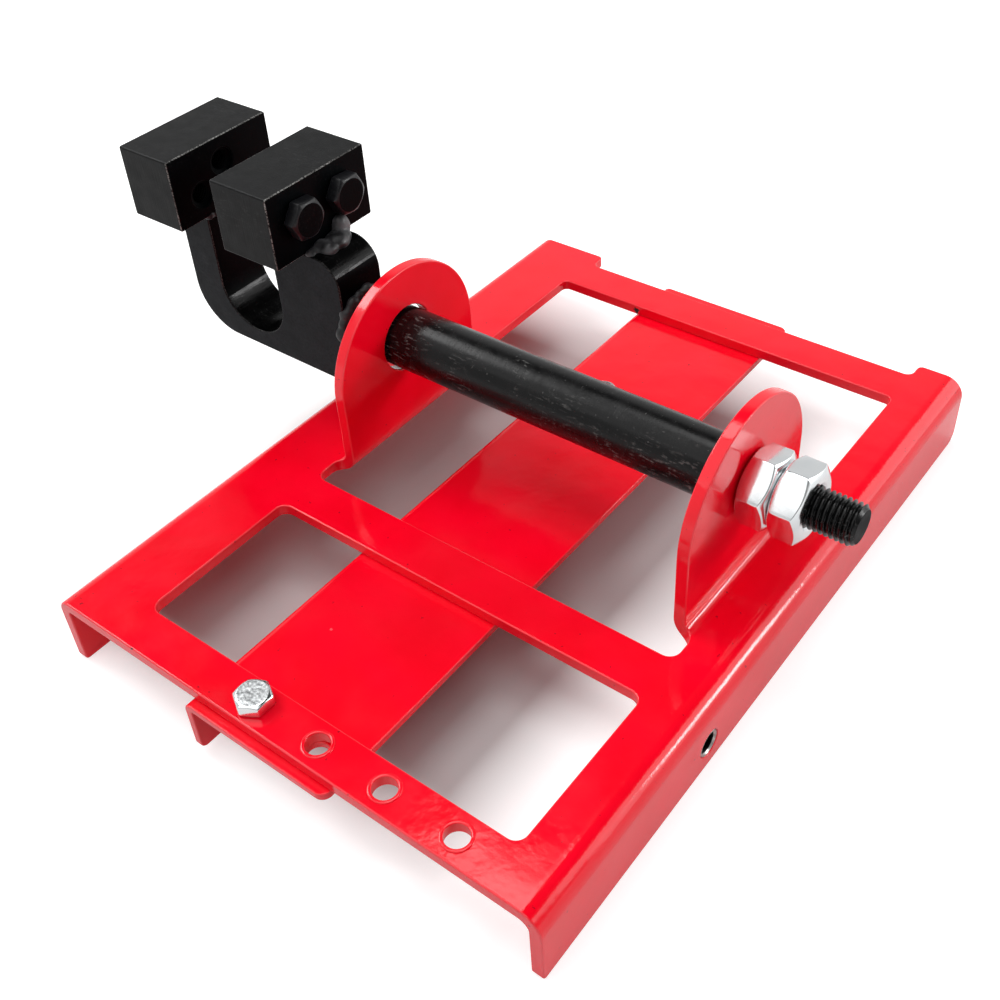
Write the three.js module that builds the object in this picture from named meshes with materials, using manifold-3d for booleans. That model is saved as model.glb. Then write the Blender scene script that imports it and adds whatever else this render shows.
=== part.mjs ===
// A chainsaw mill: a folded red frame that runs along a guide board, and a black clamp for the
// saw's bar, welded to a shaft that swivels in the frame's two ears.
// Millimetres. X runs across the frame to the threaded end of the shaft, Y from the frame's front
// edge to its back edge, and Z up. The finished group stands with its bottom centre at the origin.

import * as THREE from 'three';
import { mergeVertices } from 'three/addons/utils/BufferGeometryUtils.js';
import Module from 'manifold-3d';

const wasm = await Module();
wasm.setup();

// Clearances, and the length that cutting tools run past what they cut
const faceGap = 0.1;
const roundGap = 0.3;
const overrun = 5;

// Frame: one sheet folded into an upside-down channel
const sheet = 5;
const frameWidth = 228;
const frameLength = 314;
const flangeDepth = 32.5;
const leftFoldRadius = 1.5;
const rightFoldRadius = 4;
const frontBar = 17.7;
const frontWindow = 69.9;
const middleBar = 19.9;
const backBar = 18.9;
const backRecess = 9;
const leftRail = 34;
const rightRail = 21.2;
const leftTab = 38;
const rightTab = 21.2;
const windowRadius = 4.5;
const backWindowRadius = 3;
const tabRadius = 2.5;
const tabFilletRadius = 3.5;
const flangeFrontRadius = 1.5;
const flangeBackRadius = 6;

// Ears: flaps of the same sheet, folded up from the rails beside the back window
const earWidth = 82;
const earSetback = 13.6;
const earCentreHeight = 32.5;
const earFoldRadius = 3.8;

// Row of guide bolt holes in the front bar
const guideHoleCount = 4;
const guideHolePitch = 30;
const lastGuideHoleInset = 38.6;
const guideHoleRadius = 4.75;

// Threaded bush in the right flange
const bushSetback = 9.5;
const bushDepth = 21;
const bushRadius = 5.5;
const bushBoreRadius = 3.4;

// Guide plate: an angle under the frame, bolted through the front bar
const guideSheet = 3.2;
const guideWidth = 68.4;
const guideFrontReach = 3.6;
const guideBackReach = 0.4;
const guideFlangeDepth = 24.6;
const guideFoldInnerRadius = 0.8;
const guideCornerRadius = 4;
const guideFootRadius = 3;
const guideHoleInset = 25.1;
const guideBoltHoleRadius = 4.5;
const spareHoleInset = 14.3;
const spareHoleRadius = 4.2;
const rearBoltInset = 92.4;

// Guide bolts, M8, with a washer and a nut under the sheet
const guideBolt = { acrossFlats: 13, headHeight: 5.3, shankRadius: 4, chamfer: 1, cornerDegrees: -90 };
const guideNut = { acrossFlats: 13, height: 6.8, boreRadius: 4.3, cornerDegrees: 0 };
const guideWasher = { radius: 8.4, thickness: 1.6, boreRadius: 4.3 };
const guideBoltStickOut = 2.5;

// Swivel shaft: plain through the left ear, stepped down to an M16 thread at the right ear
const shaftHeight = 41.7;
const shaftRadius = 13;
const shaftChamfer = 0.8;
const leftEarHoleRadius = 14.3;
const thread = {
  radius: 8, pitch: 2, depth: 1.1, stickOut: 17.5, chamfer: 1.6, columns: 18, rowsPerTurn: 4,
};
const jamNut = { acrossFlats: 27, height: 12.4, cornerDegrees: 45.8 };

// Yoke of the clamp: a thick plate with a slot for the bar
const yokeThickness = 25;
const yokeRight = 18.8;
const yokeLeft = -76.5;
const yokeBottom = -28.2;
const yokeTop = 32.6;
const slotHalfWidth = 19;
const slotCentreX = -39;
const slotBottom = -20;
const yokeHeelRadius = 22;
const yokeShoulderRadius = 12.5;

// Jaws: two steel blocks welded on top of the yoke's arms
const jawLength = 56.6;
const jawHeight = 32.4;
const leftJawWidth = 29.7;
const rightJawWidth = 31.55;
const leftJawOverhang = 9.2;
const jawGap = 26.3;
const jawEdge = 0.8;

// Clamp bolts, M10, through the right jaw, and the tapped holes in the left jaw
const clampBolt = {
  acrossFlats: 16, headHeight: 6.4, shankRadius: 5, chamfer: 1.2, length: 45, cornerDegrees: -5,
};
const clampBoltSpread = 12;
const clampBoltHeight = 17.9;
const tappedHole = { radius: 4.25, mouthRadius: 6, mouthDepth: 1.75 };
const tappedHolePlaces = [[-13.1, 11.2], [0.4, 21]];

// Welds: rows of overlapping lumps
const hiddenWeldRadius = 4.2;
const slotWeldRadius = 3;
const shoulderWeldRadius = 5.2;
const shaftWeldRadius = 4.5;
const weldLumpPitchShare = 0.8;
const lumpReachShares = [1, 0.82, 1.1, 0.9, 1.18, 0.86, 1.05];
const shaftWeldLumps = 14;

// Facets of round shapes
const cornerSteps = 6;
const roundSegments = 40;
const boltSegments = 24;
const lumpColumns = 8;
const lumpRows = 5;

// Worked out from the sizes above
const middleBarFront = frontBar + frontWindow;
const backWindowFront = middleBarFront + middleBar;
const recessFront = frameLength - backRecess;
const backWindowBack = recessFront - backBar;
const windowRight = frameWidth - rightRail;
const earRadius = earWidth / 2;
const earFront = backWindowFront + earSetback;
const earAxisY = earFront + earRadius;
const earBack = earAxisY + earRadius;
const earTop = earCentreHeight + earRadius;
const leftEarInside = leftRail + earFoldRadius + sheet;
const rightEarInside = windowRight - earFoldRadius - sheet;
const rightEarOutside = windowRight - earFoldRadius;
const bushY = backWindowFront - bushSetback;
const guideHoleX = frameWidth - lastGuideHoleInset - (guideHoleCount - 1) * guideHolePitch;
const guideHoleY = frontBar / 2;
const guideLeft = guideHoleX - guideHoleInset;
const guideRight = guideLeft + guideWidth;
const guideFront = -guideFrontReach;
const guideBack = frameLength + guideBackReach;
const rearBoltY = guideBack - rearBoltInset;
const guideTop = -sheet - faceGap;
const guideUnderside = guideTop - guideSheet;
const shaftShoulder = rightEarInside - roundGap;
const innerNutStart = rightEarOutside + roundGap;
const outerNutStart = innerNutStart + jamNut.height + faceGap;
const threadEnd = outerNutStart + jamNut.height + thread.stickOut;
const jawBottom = yokeTop + faceGap;
const jawTop = jawBottom + jawHeight;
const leftJawLeft = yokeLeft - leftJawOverhang;
const leftJawRight = leftJawLeft + leftJawWidth;
const rightJawLeft = leftJawRight + jawGap;
const rightJawRight = rightJawLeft + rightJawWidth;
const clampBoltZ = jawBottom + clampBoltHeight;

// Closed meshes, joined and cut

function solidOf(geometry) {
  const bare = geometry.clone();
  bare.deleteAttribute('normal');
  bare.deleteAttribute('uv');
  const merged = mergeVertices(bare);
  const corners = merged.index.array;
  const kept = [];
  for (let i = 0; i < corners.length; i += 3) {
    const [a, b, c] = [corners[i], corners[i + 1], corners[i + 2]];
    if (a !== b && b !== c && c !== a) kept.push(a, b, c);
  }
  return new wasm.Manifold(new wasm.Mesh({
    numProp: 3,
    vertProperties: new Float32Array(merged.attributes.position.array),
    triVerts: new Uint32Array(kept),
  }));
}

function geometryOf(solid) {
  const mesh = solid.getMesh();
  const geometry = new THREE.BufferGeometry();
  geometry.setAttribute('position', new THREE.BufferAttribute(new Float32Array(mesh.vertProperties), 3));
  geometry.setIndex(new THREE.BufferAttribute(new Uint32Array(mesh.triVerts), 1));
  geometry.computeVertexNormals();
  return geometry;
}

function joined(solids) {
  return solids.reduce((whole, solid) => whole.add(solid));
}

function cut(solid, tools) {
  return tools.reduce((rest, tool) => rest.subtract(tool), solid);
}

// Outlines and the bodies made from them

// Each corner is [across, up] or [across, up, radius]. A round corner becomes an arc.
function outline(corners) {
  const points = [];
  corners.forEach(([x, y, radius = 0], i) => {
    const corner = new THREE.Vector2(x, y);
    if (radius === 0) {
      points.push(corner);
      return;
    }
    const [beforeX, beforeY] = corners.at(i - 1);
    const [afterX, afterY] = corners[(i + 1) % corners.length];
    const toBefore = new THREE.Vector2(beforeX, beforeY).sub(corner).normalize();
    const toAfter = new THREE.Vector2(afterX, afterY).sub(corner).normalize();
    const half = Math.acos(toBefore.dot(toAfter)) / 2;
    const middle = toBefore.clone().add(toAfter).normalize();
    const centre = corner.clone().addScaledVector(middle, radius / Math.sin(half));
    const start = corner.clone().addScaledVector(toBefore, radius / Math.tan(half)).sub(centre);
    const turn = Math.sign(toBefore.cross(toAfter)) * (2 * half - Math.PI);
    for (let step = 0; step <= cornerSteps; step += 1) {
      const spoke = start.clone().rotateAround(new THREE.Vector2(), turn * step / cornerSteps);
      points.push(spoke.add(centre));
    }
  });
  return points;
}

function rectangle(left, bottom, right, top, radius = 0) {
  return outline([
    [left, bottom, radius], [right, bottom, radius], [right, top, radius], [left, top, radius],
  ]);
}

// The plane of an outline, and the way it is pushed: X takes (y, z), Y takes (x, z), Z takes (x, y)
const unit = { x: new THREE.Vector3(1, 0, 0), y: new THREE.Vector3(0, 1, 0), z: new THREE.Vector3(0, 0, 1) };
const planes = {
  X: new THREE.Matrix4().makeBasis(unit.y, unit.z, unit.x),
  Y: new THREE.Matrix4().makeBasis(unit.x, unit.z, unit.y.clone().negate()),
  Z: new THREE.Matrix4(),
};

function prism(axis, points, from, to) {
  const settings = { depth: to - from, bevelEnabled: false };
  const geometry = new THREE.ExtrudeGeometry(new THREE.Shape(points), settings);
  geometry.translate(0, 0, axis === 'Y' ? -to : from);
  geometry.applyMatrix4(planes[axis]);
  return solidOf(geometry);
}

// A body turned about a line along X or Z. Its profile is [radius, place along the line], from low
// to high.
function turned(axis, profile, at = [0, 0], segments = roundSegments) {
  const points = profile.map(([radius, along]) => new THREE.Vector2(radius, along));
  const geometry = new THREE.LatheGeometry(points, segments);
  geometry.rotateX(Math.PI / 2);
  geometry.translate(at[0], at[1], 0);
  geometry.applyMatrix4(planes[axis]);
  return solidOf(geometry);
}

function rod(axis, radius, from, to, at, segments) {
  return turned(axis, [[0, from], [radius, from], [radius, to], [0, to]], at, segments);
}

function hexagon(acrossFlats, cornerDegrees, at) {
  const points = [];
  for (let i = 0; i < 6; i += 1) {
    const angle = THREE.MathUtils.degToRad(cornerDegrees + 60 * i);
    const reach = acrossFlats / Math.sqrt(3);
    points.push(new THREE.Vector2(at[0] + reach * Math.cos(angle), at[1] + reach * Math.sin(angle)));
  }
  return points;
}

// Hexagon with its corners turned off at 30 degrees, at the far end or at both ends
function hexBlock(axis, acrossFlats, from, to, at, cornerDegrees, bothEnds) {
  const flat = acrossFlats / 2;
  const reach = acrossFlats / Math.sqrt(3) + roundGap;
  const drop = (reach - flat) / Math.sqrt(3);
  const near = bothEnds ? [[0, from], [flat, from], [reach, from + drop]] : [[0, from], [reach, from]];
  const turnedOff = turned(axis, [...near, [reach, to - drop], [flat, to], [0, to]], at);
  return prism(axis, hexagon(acrossFlats, cornerDegrees, at), from, to).intersect(turnedOff);
}

function hexBolt(axis, bolt, seat, length, at) {
  const top = seat + bolt.headHeight;
  const head = hexBlock(axis, bolt.acrossFlats, seat, top, at, bolt.cornerDegrees, false);
  const tip = seat - length;
  const profile = [[0, tip], [bolt.shankRadius - bolt.chamfer, tip], [bolt.shankRadius, tip + bolt.chamfer]];
  const inHead = seat + bolt.headHeight / 2;
  profile.push([bolt.shankRadius, inHead], [0, inHead]);
  return head.add(turned(axis, profile, at, boltSegments));
}

function hexNut(axis, nut, boreRadius, from, to, at) {
  const bore = rod(axis, boreRadius, from - overrun, to + overrun, at, boltSegments);
  return hexBlock(axis, nut.acrossFlats, from, to, at, nut.cornerDegrees, true).subtract(bore);
}

// A rod along X with one helical groove, chamfered at its far end
function threadedRod(from, to) {
  const rowStep = thread.pitch / thread.rowsPerTurn;
  const rows = Math.ceil((to - from) / rowStep);
  const positions = [];
  const faces = [];
  for (let row = 0; row <= rows; row += 1) {
    const along = Math.min(from + row * rowStep, to);
    const limit = thread.radius - Math.max(0, thread.chamfer - (to - along));
    for (let column = 0; column < thread.columns; column += 1) {
      const turn = column / thread.columns;
      const share = THREE.MathUtils.euclideanModulo((to - along) / thread.pitch + turn, 1);
      const groove = thread.depth * (1 - Math.abs(2 * share - 1));
      const radius = Math.min(thread.radius - groove, limit);
      positions.push(along, radius * Math.cos(2 * Math.PI * turn), radius * Math.sin(2 * Math.PI * turn));
    }
  }
  const nearCentre = positions.push(from, 0, 0) / 3 - 1;
  const farCentre = positions.push(to, 0, 0) / 3 - 1;
  for (let column = 0; column < thread.columns; column += 1) {
    const next = (column + 1) % thread.columns;
    for (let row = 0; row < rows; row += 1) {
      const here = row * thread.columns;
      const beyond = here + thread.columns;
      faces.push(here + column, here + next, beyond + column);
      faces.push(here + next, beyond + next, beyond + column);
    }
    const last = rows * thread.columns;
    faces.push(nearCentre, next, column);
    faces.push(farCentre, last + column, last + next);
  }
  const geometry = new THREE.BufferGeometry();
  geometry.setAttribute('position', new THREE.BufferAttribute(new Float32Array(positions), 3));
  geometry.setIndex(faces);
  return solidOf(geometry);
}

// Frame

function foldedChannel() {
  const insideRight = frameWidth - sheet;
  return outline([
    [0, -flangeDepth], [sheet, -flangeDepth], [sheet, -sheet, leftFoldRadius],
    [insideRight, -sheet, rightFoldRadius], [insideRight, -flangeDepth], [frameWidth, -flangeDepth],
    [frameWidth, 0, rightFoldRadius + sheet], [0, 0, leftFoldRadius + sheet],
  ]);
}

function framePlan() {
  return outline([
    [0, 0], [frameWidth, 0], [frameWidth, frameLength], [frameWidth - rightTab, frameLength, tabRadius],
    [frameWidth - rightTab, recessFront, tabFilletRadius], [leftTab, recessFront, tabFilletRadius],
    [leftTab, frameLength, tabRadius], [0, frameLength],
  ]);
}

function flangeSide() {
  return outline([
    [0, -flangeDepth, flangeFrontRadius], [frameLength, -flangeDepth, flangeBackRadius],
    [frameLength, overrun], [0, overrun],
  ]);
}

// The fold starts at the rail's edge. Side is 1 for the left ear and -1 for the right one.
function earFold(edge, side) {
  const inside = earFoldRadius;
  const outside = earFoldRadius + sheet;
  const corners = [
    [-sheet, -sheet], [outside, -sheet, outside], [outside, earTop], [inside, earTop], [inside, 0, inside],
    [-sheet, 0],
  ];
  const placed = corners.map(([across, up, radius]) => [edge + side * across, up, radius]);
  return prism('Y', outline(side > 0 ? placed : placed.reverse()), earFront, earBack);
}

function earSide() {
  const bottom = -sheet - overrun;
  return outline([
    [earFront, bottom], [earBack, bottom], [earBack, earTop, earRadius], [earFront, earTop, earRadius],
  ]);
}

function frameSolid() {
  const below = -flangeDepth - overrun;
  const channel = prism('Y', foldedChannel(), 0, frameLength)
    .intersect(prism('Z', framePlan(), below, overrun))
    .intersect(prism('X', flangeSide(), -overrun, frameWidth + overrun));
  const windows = [
    prism('Z', rectangle(leftRail, frontBar, windowRight, middleBarFront, windowRadius), below, overrun),
    prism('Z', outline([
      [leftRail, backWindowFront, windowRadius], [windowRight, backWindowFront, windowRadius],
      [windowRight, backWindowBack, backWindowRadius], [leftRail, backWindowBack, backWindowRadius],
    ]), below, overrun),
  ];
  const boltHoles = [];
  for (let i = 0; i < guideHoleCount; i += 1) {
    const place = [guideHoleX + i * guideHolePitch, guideHoleY];
    boltHoles.push(rod('Z', guideHoleRadius, below, overrun, place, boltSegments));
  }
  const bushHole = rod('X', bushRadius + roundGap, frameWidth - sheet - overrun, frameWidth + overrun,
    [bushY, -bushDepth], boltSegments);
  const side = prism('X', earSide(), leftRail - sheet - overrun, windowRight + sheet + overrun);
  const ears = [earFold(leftRail, 1).intersect(side), earFold(windowRight, -1).intersect(side)];
  const shaftHoles = [
    rod('X', leftEarHoleRadius, leftRail, leftEarInside + overrun, [earAxisY, shaftHeight]),
    rod('X', thread.radius + roundGap, rightEarInside - overrun, windowRight, [earAxisY, shaftHeight]),
  ];
  return cut(joined([cut(channel, [...windows, ...boltHoles, bushHole]), ...ears]), shaftHoles);
}

function bushSolid() {
  const place = [bushY, -bushDepth];
  const left = frameWidth - sheet;
  return rod('X', bushRadius, left, frameWidth, place, boltSegments)
    .subtract(rod('X', bushBoreRadius, left - overrun, frameWidth + overrun, place, boltSegments));
}

// Guide plate and its bolts

function guideSolid() {
  const outer = guideFoldInnerRadius + guideSheet;
  const angle = outline([
    [guideLeft, guideTop - guideFlangeDepth], [guideLeft + guideSheet, guideTop - guideFlangeDepth],
    [guideLeft + guideSheet, guideUnderside, guideFoldInnerRadius], [guideRight, guideUnderside],
    [guideRight, guideTop], [guideLeft, guideTop, outer],
  ]);
  const plan = outline([
    [guideLeft, guideFront], [guideRight, guideFront, guideCornerRadius],
    [guideRight, guideBack, guideCornerRadius], [guideLeft, guideBack],
  ]);
  const side = outline([
    [guideFront, guideTop - guideFlangeDepth, guideFootRadius],
    [guideBack, guideTop - guideFlangeDepth, guideFootRadius],
    [guideBack, guideTop + overrun], [guideFront, guideTop + overrun],
  ]);
  const below = guideTop - guideFlangeDepth - overrun;
  const holes = [
    rod('Z', guideBoltHoleRadius, below, overrun, [guideHoleX, guideHoleY], boltSegments),
    rod('Z', guideBoltHoleRadius, below, overrun, [guideHoleX, rearBoltY], boltSegments),
    rod('Z', spareHoleRadius, below, overrun, [guideRight - spareHoleInset, guideHoleY], boltSegments),
  ];
  const bent = prism('Y', angle, guideFront, guideBack)
    .intersect(prism('Z', plan, below, overrun))
    .intersect(prism('X', side, guideLeft - overrun, guideRight + overrun));
  return cut(bent, holes);
}

function guideFastener(seat, y) {
  const at = [guideHoleX, y];
  const washerTop = guideUnderside - faceGap;
  const washerBottom = washerTop - guideWasher.thickness;
  const nutTop = washerBottom - faceGap;
  const nutBottom = nutTop - guideNut.height;
  const length = seat - nutBottom + guideBoltStickOut;
  const { radius, boreRadius } = guideWasher;
  const hole = rod('Z', boreRadius, washerBottom - overrun, washerTop + overrun, at, boltSegments);
  return {
    bolt: hexBolt('Z', guideBolt, seat, length, at),
    washer: rod('Z', radius, washerBottom, washerTop, at, boltSegments).subtract(hole),
    nut: hexNut('Z', guideNut, guideNut.boreRadius, nutBottom, nutTop, at),
  };
}

// Clamp, drawn about the shaft's own line: these outlines and places measure y and z from it

function shaftSolid() {
  const start = yokeRight + faceGap;
  const plain = turned('X', [
    [0, start], [shaftRadius, start], [shaftRadius, shaftShoulder - shaftChamfer],
    [shaftRadius - shaftChamfer, shaftShoulder], [0, shaftShoulder],
  ]);
  const threadStart = outerNutStart + jamNut.height / 2;
  const neck = rod('X', thread.radius, shaftShoulder - overrun, threadStart, [0, 0], thread.columns);
  return plain.add(neck).add(threadedRod(threadStart - thread.pitch, threadEnd));
}

function jamNutSolid(start) {
  return hexNut('X', jamNut, thread.radius + roundGap, start, start + jamNut.height, [0, 0]);
}

function yokeSolid() {
  const slotLeft = slotCentreX - slotHalfWidth;
  const slotRight = slotCentreX + slotHalfWidth;
  const shape = outline([
    [yokeLeft, yokeTop], [yokeLeft, yokeBottom, yokeHeelRadius], [yokeRight, yokeBottom, yokeShoulderRadius],
    [yokeRight, yokeTop, yokeShoulderRadius], [slotRight, yokeTop], [slotRight, slotBottom, slotHalfWidth],
    [slotLeft, slotBottom, slotHalfWidth], [slotLeft, yokeTop],
  ]);
  return prism('Y', shape, -yokeThickness / 2, yokeThickness / 2);
}

function jawBlock(left, right) {
  const half = jawLength / 2;
  const front = outline([[left, jawBottom], [right, jawBottom], [right, jawTop], [left, jawTop]]);
  const ends = outline([
    [-half + jawEdge, jawBottom], [half - jawEdge, jawBottom], [half, jawBottom + jawEdge],
    [half, jawTop - jawEdge], [half - jawEdge, jawTop], [-half + jawEdge, jawTop], [-half, jawTop - jawEdge],
    [-half, jawBottom + jawEdge],
  ]);
  return prism('Y', front, -half, half).intersect(prism('X', ends, left, right));
}

function leftJawSolid() {
  const holes = tappedHolePlaces.map(([y, height]) => turned('X', [
    [0, leftJawLeft - overrun], [tappedHole.radius, leftJawLeft - overrun],
    [tappedHole.radius, leftJawRight - tappedHole.mouthDepth], [tappedHole.mouthRadius, leftJawRight],
    [tappedHole.mouthRadius, leftJawRight + overrun], [0, leftJawRight + overrun],
  ], [y, jawBottom + height], boltSegments));
  return cut(jawBlock(leftJawLeft, leftJawRight), holes);
}

function rightJawSolid() {
  const holes = [-clampBoltSpread, clampBoltSpread].map((y) => rod('X', clampBolt.shankRadius + roundGap,
    rightJawLeft - overrun, rightJawRight + overrun, [y, clampBoltZ], boltSegments));
  return cut(jawBlock(rightJawLeft, rightJawRight), holes);
}

function clampBoltSolid(y) {
  return hexBolt('X', clampBolt, rightJawRight + faceGap, clampBolt.length, [y, clampBoltZ]);
}

// One lump of weld metal: a low ball
function lump(x, y, z, radius) {
  const geometry = new THREE.SphereGeometry(radius, lumpColumns, lumpRows);
  geometry.translate(x, y, z);
  return solidOf(geometry);
}

// A row of lumps along a corner that lies along Y, kept to the open quarter of that corner.
// Sides say which way the open quarter lies, in x and in z.
function cornerWeld(x, z, sideX, sideZ, radius) {
  const half = yokeThickness / 2;
  const count = Math.ceil(yokeThickness / (radius * weldLumpPitchShare));
  const lumps = [];
  for (let i = 0; i <= count; i += 1) {
    const reach = radius * lumpReachShares[i % lumpReachShares.length];
    lumps.push(lump(x, -half + yokeThickness * i / count, z, reach));
  }
  const nearX = x + sideX * roundGap;
  const nearZ = z + sideZ * roundGap;
  const farX = x + sideX * 2 * radius;
  const farZ = z + sideZ * 2 * radius;
  const [left, right] = [Math.min(nearX, farX), Math.max(nearX, farX)];
  const [bottom, top] = [Math.min(nearZ, farZ), Math.max(nearZ, farZ)];
  const open = rectangle(left, bottom, right, top);
  return joined(lumps).intersect(prism('Y', open, -yokeThickness, yokeThickness));
}

function shaftWeldSolid() {
  const lumps = [];
  for (let i = 0; i < shaftWeldLumps; i += 1) {
    const angle = 2 * Math.PI * i / shaftWeldLumps;
    const reach = shaftWeldRadius * lumpReachShares[i % lumpReachShares.length];
    lumps.push(lump(yokeRight, shaftRadius * Math.cos(angle), shaftRadius * Math.sin(angle), reach));
  }
  const outer = shaftRadius + 2 * shaftWeldRadius;
  const near = yokeRight + roundGap;
  const ring = rod('X', outer, near, near + 2 * shaftWeldRadius, [0, 0])
    .subtract(rod('X', shaftRadius + roundGap, near - overrun, near + 2 * shaftWeldRadius + overrun, [0, 0]));
  return joined(lumps).intersect(ring);
}

// Materials

function finish(color, roughness, metalness) {
  return new THREE.MeshStandardMaterial({ color, roughness, metalness, flatShading: true });
}

function redPaint() {
  return finish(0xe8001e, 0.22, 0);
}

function zincPlate() {
  return finish(0xd4d9da, 0.28, 1);
}

function blackOxide() {
  return finish(0x26292a, 0.42, 0.4);
}

function bareSteel() {
  return finish(0x9a9c9e, 0.4, 1);
}

function blackWeld() {
  return finish(0x303334, 0.55, 0.4);
}

// Assembly

function piece(name, solid, material) {
  const mesh = new THREE.Mesh(geometryOf(solid), material);
  mesh.name = name;
  return mesh;
}

function carriage() {
  const group = new THREE.Group();
  group.add(piece('frame', frameSolid(), redPaint()));
  group.add(piece('side_thread_bush', bushSolid(), bareSteel()));
  group.add(piece('guide_plate', guideSolid(), redPaint()));
  const fasteners = {
    front: guideFastener(faceGap, guideHoleY),
    rear: guideFastener(guideTop + faceGap, rearBoltY),
  };
  for (const [place, set] of Object.entries(fasteners)) {
    group.add(piece(`guide_bolt_${place}`, set.bolt, zincPlate()));
    group.add(piece(`guide_washer_${place}`, set.washer, zincPlate()));
    group.add(piece(`guide_nut_${place}`, set.nut, zincPlate()));
  }
  return group;
}

function swivelClamp() {
  const group = new THREE.Group();
  group.position.set(0, earAxisY, shaftHeight);
  group.add(piece('swivel_shaft', shaftSolid(), blackOxide()));
  group.add(piece('jam_nut_inner', jamNutSolid(innerNutStart), zincPlate()));
  group.add(piece('jam_nut_outer', jamNutSolid(outerNutStart), zincPlate()));
  group.add(piece('clamp_yoke', yokeSolid(), blackOxide()));
  group.add(piece('jaw_left', leftJawSolid(), blackOxide()));
  group.add(piece('jaw_right', rightJawSolid(), blackOxide()));
  group.add(piece('clamp_bolt_front', clampBoltSolid(-clampBoltSpread), blackOxide()));
  group.add(piece('clamp_bolt_rear', clampBoltSolid(clampBoltSpread), blackOxide()));
  group.add(piece('weld_shaft', shaftWeldSolid(), blackWeld()));
  const slotLeft = slotCentreX - slotHalfWidth;
  const slotRight = slotCentreX + slotHalfWidth;
  const welds = {
    weld_jaw_left_outer: cornerWeld(yokeLeft, yokeTop, -1, -1, hiddenWeldRadius),
    weld_jaw_left_inner: cornerWeld(slotLeft, yokeTop, 1, -1, slotWeldRadius),
    weld_jaw_right_inner: cornerWeld(slotRight, yokeTop, -1, -1, hiddenWeldRadius),
    weld_jaw_right_outer: cornerWeld(rightJawRight, yokeTop, 1, 1, shoulderWeldRadius),
  };
  for (const [name, solid] of Object.entries(welds)) group.add(piece(name, solid, blackWeld()));
  return group;
}

const mill = new THREE.Group();
mill.add(carriage());
mill.add(swivelClamp());

const box = new THREE.Box3().setFromObject(mill, true);
const middle = box.getCenter(new THREE.Vector3());
mill.position.set(-middle.x, -middle.y, -box.min.z);

export default mill;
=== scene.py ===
# The finished look of the chainsaw mill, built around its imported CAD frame.
# Lengths are in millimetres in the drawing's own axes, as in the CAD source: X from the frame's left
# face, Y from its front edge, Z from the top of its sheet. One matrix turns them into metres.
# The studio's lengths are in metres, from the middle of the floor under the part.

import math

import bmesh
import bpy
from mathutils import Euler, Matrix, Vector, noise

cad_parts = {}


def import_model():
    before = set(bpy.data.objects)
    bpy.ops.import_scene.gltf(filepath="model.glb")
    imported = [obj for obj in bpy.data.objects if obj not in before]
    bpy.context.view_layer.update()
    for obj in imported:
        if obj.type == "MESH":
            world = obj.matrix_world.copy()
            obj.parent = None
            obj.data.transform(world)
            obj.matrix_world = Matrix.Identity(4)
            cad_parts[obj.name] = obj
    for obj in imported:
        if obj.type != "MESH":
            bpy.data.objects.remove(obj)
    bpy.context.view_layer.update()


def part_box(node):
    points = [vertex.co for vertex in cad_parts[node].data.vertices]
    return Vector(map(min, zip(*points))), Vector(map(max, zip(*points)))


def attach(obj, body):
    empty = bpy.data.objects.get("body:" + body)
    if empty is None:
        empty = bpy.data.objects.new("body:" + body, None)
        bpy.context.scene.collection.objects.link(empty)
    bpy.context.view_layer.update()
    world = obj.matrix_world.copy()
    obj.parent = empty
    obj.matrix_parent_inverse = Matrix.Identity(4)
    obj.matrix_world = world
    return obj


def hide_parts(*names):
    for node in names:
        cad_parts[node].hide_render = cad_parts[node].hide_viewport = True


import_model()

METRES = 0.001

# Frame sheet
SHEET = 5
FRAME_WIDTH = 228
FRAME_LENGTH = 314
FLANGE_DEPTH = 32.5
LEFT_FOLD_RADIUS = 1.5
RIGHT_FOLD_RADIUS = 4
LEFT_FOLD_LINE = LEFT_FOLD_RADIUS + SHEET
RIGHT_FOLD_LINE = FRAME_WIDTH - RIGHT_FOLD_RADIUS - SHEET
FRONT_BAR = 17.7
MIDDLE_BAR_FRONT = 87.6
BACK_WINDOW_FRONT = 107.5
BACK_WINDOW_BACK = 286.1
RECESS_FRONT = 305
LEFT_RAIL = 34
WINDOW_RIGHT = 206.8
LEFT_TAB = 38
RIGHT_TAB = 21.2
WINDOW_RADIUS = 4.5
BACK_WINDOW_RADIUS = 3
TAB_RADIUS = 2.5
TAB_FILLET_RADIUS = 3.5
FLANGE_FRONT_RADIUS = 1.5
FLANGE_BACK_RADIUS = 6
SHEET_EDGE = 0.6

# Ears
EAR_FRONT = 121.1
EAR_BACK = 203.1
EAR_MIDDLE = (EAR_FRONT + EAR_BACK) / 2
EAR_RADIUS = (EAR_BACK - EAR_FRONT) / 2
EAR_CENTRE_HEIGHT = 32.5
EAR_FOLD_RADIUS = 3.8
NOTCH_RADIUS = 4.75
SHAFT_HEIGHT = 41.7
LEFT_EAR_HOLE_RADIUS = 14.3
RIGHT_EAR_HOLE_RADIUS = 8.3

# Holes in the frame
GUIDE_HOLE_X = 99.4
GUIDE_HOLE_Y = 8.85
GUIDE_HOLE_COUNT = 4
GUIDE_HOLE_PITCH = 30
GUIDE_HOLE_RADIUS = 4.75
GUIDE_HOLES = [GUIDE_HOLE_X + i * GUIDE_HOLE_PITCH for i in range(GUIDE_HOLE_COUNT)]
LIP_WIDTH = 1.5
LIP_HEIGHT = 0.4
LIP_STEPS = 8
BUSH_Y = 98
BUSH_DEPTH = 21
BUSH_HOLE_RADIUS = 5.6
BUSH_RADIUS = 5.55
BUSH_BORE_RADIUS = 3.6
BUSH_PITCH = 1.25
BUSH_ROWS = 36

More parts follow.
